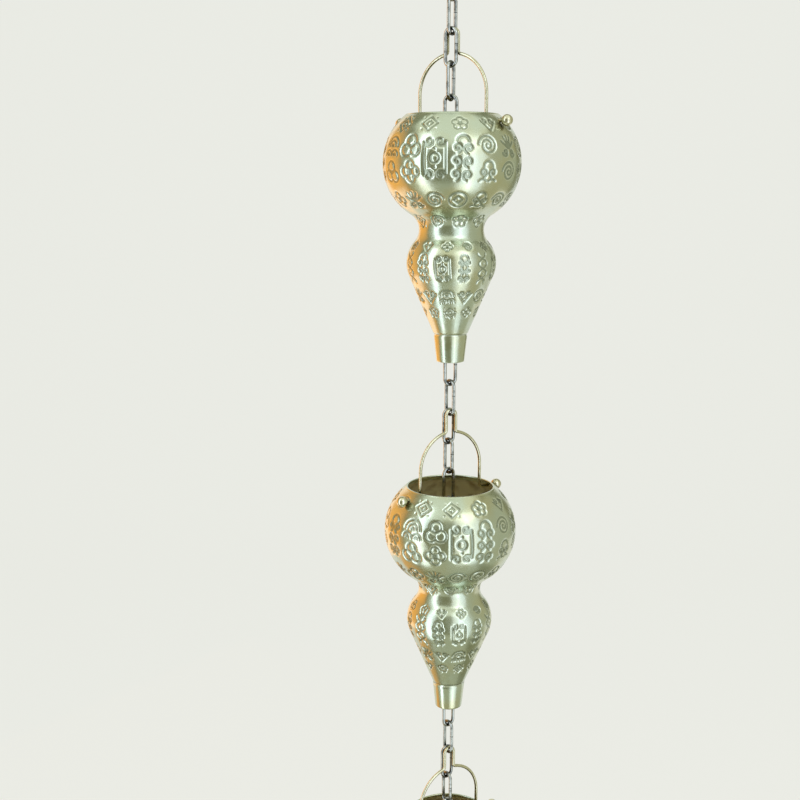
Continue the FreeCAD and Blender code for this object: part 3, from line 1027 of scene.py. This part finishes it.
    def build(self) -> bpy.types.Object:
        """Makes the carved shell: its outline turned about the axis, down, round the lips and up.

        Returns:
            The shell, with the carving's distance on its points and a raw skin on its inside.
        """
        low, high = (Vector(corner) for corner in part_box(self.name))
        axis = ((low + high) / 2).xy
        turn = np.linspace(0, 2 * np.pi, self.columns, endpoint=False)
        outer = self.trim(self.outline(self.fine_step, self.spout_step))
        inner = self.outline(self.coarse_step, self.coarse_step)
        inner = self.trim(inner[:, :2] - self.wall * inner[:, 2:])[::-1]
        radius, height, carve = self.sink(outer, turn)

        foot = self.lip(outer[-1, :2], inner[0], -self.height)
        rim = self.lip(inner[-1], outer[0, :2], 0.0)
        plain = np.concatenate([foot, inner, rim])
        same = np.ones((1, self.columns))
        radius = np.concatenate([radius, plain[:, :1] * same])
        height = np.concatenate([height, plain[:, 1:] * same])
        carve = np.concatenate([carve, np.full((len(plain), self.columns), PLAIN)])
        points = np.stack([axis.x + MM * radius * np.sin(turn), axis.y - MM * radius * np.cos(turn),
                           high.z + MM * height], axis=-1).reshape(-1, 3)
        piece = mesh_object(f"{self.name}_carved", points,
                            grid_quads(len(radius), self.columns, True))
        layer = piece.data.attributes.new(CARVE_LAYER, "FLOAT", "POINT")
        layer.data.foreach_set("value", carve.astype(np.float32).ravel())
        raw = int(np.sum(inner[:, 1] < -self.polished_inside))
        skin = np.repeat([0, 1, 0], (len(outer) + len(foot), raw, len(inner) - raw + len(rim)))
        piece.data.polygons.foreach_set("material_index",
                                        np.repeat(skin, self.columns).astype(np.int32))
        return piece

    def dress(self, polished: bpy.types.Material, raw: bpy.types.Material) -> bpy.types.Object:
        """Builds the shell, gives it its finishes and puts it in its node's place.

        Args:
            polished: The finish of the outside and the lips.
            raw: The finish of the inside.

        Returns:
            The shell.
        """
        piece = self.build()
        piece.data.materials.append(polished)
        piece.data.materials.append(raw)
        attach(piece, self.name)
        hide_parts(self.name)
        return piece


# Chain

@dataclass
class ChainDress:
    """Finishes of the chain, the hook and the bails, and the links' seams, in millimetres."""

    wire: float = 1.7
    seam_width: float = 0.3
    seam_proud: float = 0.02
    seam_root: float = 0.2
    seam_height: float = 1.2
    around: int = 20

    def links(self) -> list[str]:
        """The names of the link nodes, from the top."""
        return sorted(node for node in frame["nodes"] if node.startswith("link_"))

    def finish_wires(self) -> None:
        """Gives every wire node its drawn-wire finish."""
        steel, brass = NICKEL_STEEL.build(), BRASS_WIRE.build()
        for node in frame["nodes"]:
            if node.startswith(("link_", "hanging_hook", "bail_")):
                slots = frame["nodes"][node].data.materials
                slots.clear()
                slots.append(brass if node.startswith("bail_") else steel)

    def seam_points(self, node: str) -> Array:
        """The weld round one side of a link, where its wire was closed.

        The weld is a thin ring: a small rectangle, from inside the wire to just proud of it, is
        carried round the wire's middle.

        Args:
            node: The link's name.

        Returns:
            Four rows of points round the wire, in metres.
        """
        points = node_points(node)
        middle = (points.min(axis=0) + points.max(axis=0)) / 2
        across = level_direction(points)
        through = np.array([across[1], -across[0], 0.0])
        bow = ((points - middle) @ across).max() - self.wire / 2 * MM
        angle = np.linspace(0, 2 * np.pi, self.around, endpoint=False)[:, None]
        out = np.cos(angle) * across + np.sin(angle) * through
        radius = self.wire / 2 + np.array([1, 1, 0, 0]) * (self.seam_proud + self.seam_root)
        radius = (radius - self.seam_root)[:, None, None]
        level = self.seam_height + self.seam_width * np.array([0.5, -0.5, -0.5, 0.5])
        level = level[:, None, None] * np.array([0.0, 0.0, 1.0])
        return middle + across * bow + MM * (radius * out + level)

    def add_seams(self) -> list[bpy.types.Object]:
        """Adds one piece for each body that has links, with a seam on every link.

        Returns:
            The pieces.
        """
        material = SEAM_STEEL.build()
        by_body: dict[str, list[str]] = {}
        for node in self.links():
            by_body.setdefault(body_of(node), []).append(node)
        pieces = []
        rows = 4
        quads = grid_quads(rows, self.around, True)
        for body, nodes in by_body.items():
            points = np.concatenate([self.seam_points(node).reshape(-1, 3) for node in nodes])
            faces = np.concatenate([quads + rows * self.around * i for i in range(len(nodes))])
            piece = mesh_object(f"link_seams_{body}", points, faces)
            piece.data.materials.append(material)
            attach(piece, body)
            pieces.append(piece)
        return pieces


# Studio

@dataclass(frozen=True)
class Softbox:
    """A soft lamp that faces the chain.

    Attributes:
        name: The lamp's name.
        azimuth: Degrees round the chain, from the camera's side towards the right.
        height: Metres above the middle of the chain.
        distance: Metres from the chain.
        size: Width and height in metres.
        brightness: How bright it looks, where one is a white card.
        colour: Its light, as an sRGB hex colour.
        spread: Degrees over which its grid lets the light out.
    """

    name: str
    azimuth: float
    height: float
    distance: float
    size: tuple[float, float]
    brightness: float
    colour: str
    spread: float = 180.0

    def build(self, target: Vector) -> None:
        """Adds the lamp, aimed at a point.

        Args:
            target: The point it faces.
        """
        lamp = bpy.data.lights.new(self.name, "AREA")
        lamp.shape = "RECTANGLE"
        lamp.size, lamp.size_y = self.size
        lamp.energy = self.brightness * math.pi * self.size[0] * self.size[1]
        lamp.color = srgb(self.colour)[:3]
        lamp.spread = math.radians(self.spread)
        holder = bpy.data.objects.new(self.name, lamp)
        angle = math.radians(self.azimuth)
        holder.location = target + Vector((self.distance * math.sin(angle),
                                           -self.distance * math.cos(angle), self.height))
        holder.rotation_euler = (target - holder.location).to_track_quat("-Z", "Y").to_euler()
        bpy.context.scene.collection.objects.link(holder)


@dataclass
class Studio:
    """The pale sweep, the lamps, the world and the camera, in metres."""

    paper: str = "#F0F1EB"
    surround: str = "#898A6E"
    paper_glow: float = 0.88
    floor_gap: float = 0.03
    sweep_front: float = 0.2
    sweep_back: float = 1.3
    sweep_top: float = 1.1
    sweep_half_width: float = 0.85
    sweep_bend: float = 0.4
    sweep_bend_points: int = 24
    sweep_columns: int = 9
    paper_grain_mm: float = 1.5
    paper_grain_height_mm: float = 0.02
    camera_place: tuple[float, float, float] = (-0.024, -0.551, -0.131)
    camera_pitch: float = -11.2
    lens: float = 51.4
    shift_y: float = 0.012
    clip: tuple[float, float] = (0.01, 50.0)
    lamps: tuple[Softbox, ...] = (
        Softbox("left_strip", -57.0, 0.0, 0.8, (0.26, 2.2), 2.3, "#E4EEFF"),
        Softbox("right_box", 32.0, 0.0, 0.95, (0.86, 2.2), 1.15, "#E4EEFF"),
        Softbox("right_core", 30.0, 0.0, 0.95, (0.16, 2.2), 0.9, "#E4EEFF"),
        Softbox("right_fill", 92.0, 0.0, 0.9, (1.3, 2.0), 0.28, "#F0F2E4"),
        Softbox("left_fill", -76.0, 0.0, 0.8, (0.3, 2.0), 0.25, "#EAF6EE"),
        Softbox("warm_card", -128.0, -0.1, 0.6, (0.8, 1.7), 0.45, "#FF9E00", 120.0),
        Softbox("low_fill", 0.0, -1.0, 0.6, (1.6, 1.2), 0.25, "#EEF2E4"),
        Softbox("top_soft", 0.0, 1.0, 0.35, (1.8, 1.4), 0.7, "#F0F6F0"),
    )

    def pale_surface(self, tree: bpy.types.NodeTree) -> bpy.types.NodeSocket:
        """One for rays from the camera, from gloss and through glass, which see plain paper.

        Args:
            tree: The node tree that takes the nodes.

        Returns:
            The output with that number.
        """
        path = add_node(tree, "ShaderNodeLightPath")
        seen = add_node(tree, "ShaderNodeMath", {0: path.outputs["Is Camera Ray"],
                                                 1: path.outputs["Is Glossy Ray"]}, operation="ADD")
        seen = add_node(tree, "ShaderNodeMath", {0: seen.outputs[0],
                                                 1: path.outputs["Is Transmission Ray"]},
                        operation="ADD", use_clamp=True)
        return seen.outputs[0]

    def build_sweep(self) -> None:
        """A paper sweep: a line along the floor, a quarter turn and a line up, carried sideways."""
        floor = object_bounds()[0].z - self.floor_gap
        bend, back = self.sweep_bend, self.sweep_back
        angle = np.linspace(-np.pi / 2, 0, self.sweep_bend_points)
        y = np.concatenate([[self.sweep_front], back - bend + bend * np.cos(angle), [back]])
        z = np.concatenate([[floor], floor + bend + bend * np.sin(angle), [self.sweep_top]])
        x = np.linspace(self.sweep_half_width, -self.sweep_half_width, self.sweep_columns)
        points = np.stack(np.broadcast_arrays(x[None, :], y[:, None], z[:, None]), axis=-1)
        sweep = mesh_object("paper_sweep", points.reshape(-1, 3), grid_quads(len(y), len(x), False))
        material = bpy.data.materials.new("matt_paper")
        tree = new_tree(material)
        grain = add_node(tree, "ShaderNodeTexNoise",
                         {"Scale": per_metre(self.paper_grain_mm), "Detail": 2.0})
        bump = add_node(tree, "ShaderNodeBump",
                        {"Height": grain.outputs["Fac"],
                         "Distance": self.paper_grain_height_mm * MM})
        paper = add_node(tree, "ShaderNodeBsdfDiffuse", {"Color": srgb(self.paper),
                                                         "Normal": bump.outputs["Normal"]})
        glow = add_node(tree, "ShaderNodeEmission", {"Color": srgb(self.paper)})
        share = add_node(tree, "ShaderNodeMath", {0: self.pale_surface(tree), 1: self.paper_glow},
                         operation="MULTIPLY")
        mixed = add_node(tree, "ShaderNodeMixShader", {0: share.outputs[0],
                                                       1: paper.outputs[0], 2: glow.outputs[0]})
        add_node(tree, "ShaderNodeOutputMaterial", {"Surface": mixed.outputs[0]})
        sweep.data.materials.append(material)
        sweep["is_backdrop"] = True

    def build_world(self) -> None:
        """The plain walls of the studio, as one even light."""
        world = bpy.data.worlds.new("studio_surround")
        bpy.context.scene.world = world
        tree = new_tree(world)
        room = add_node(tree, "ShaderNodeBackground",
                        {"Color": srgb(self.surround), "Strength": 1.0})
        add_node(tree, "ShaderNodeOutputWorld", {"Surface": room.outputs[0]})

    def build_camera(self) -> None:
        """The camera at the photograph's place, level from side to side."""
        data = bpy.data.cameras.new("camera")
        data.sensor_fit = "HORIZONTAL"
        data.lens = self.lens
        data.shift_y = self.shift_y
        data.clip_start, data.clip_end = self.clip
        camera = bpy.data.objects.new("camera", data)
        camera.location = self.camera_place
        camera.rotation_euler = (math.radians(90 + self.camera_pitch), 0.0, 0.0)
        bpy.context.scene.collection.objects.link(camera)
        bpy.context.scene.camera = camera

    def build(self) -> None:
        """Sets up everything that isn't part of the object."""
        bpy.context.scene.view_settings.view_transform = "Standard"
        low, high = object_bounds()
        self.build_sweep()
        self.build_world()
        self.build_camera()
        for lamp in self.lamps:
            lamp.build((low + high) / 2)


def main() -> None:
    """Builds the carved cups, dresses the chain and sets up the studio."""
    logging.basicConfig(level=logging.INFO, format="%(name)s: %(message)s")
    polished, raw = CastBrass().build(), RawCasting().build()
    for number, turn in enumerate(PATTERN_TURNS, start=1):
        piece = GourdCup(number, pattern_turn=turn).dress(polished, raw)
        LOG.info("%s: %d faces", piece.name, len(piece.data.polygons))
    chain = ChainDress()
    chain.finish_wires()
    for piece in chain.add_seams():
        LOG.info("%s: %d faces", piece.name, len(piece.data.polygons))
    Studio().build()


if __name__ == "__main__":
    main()
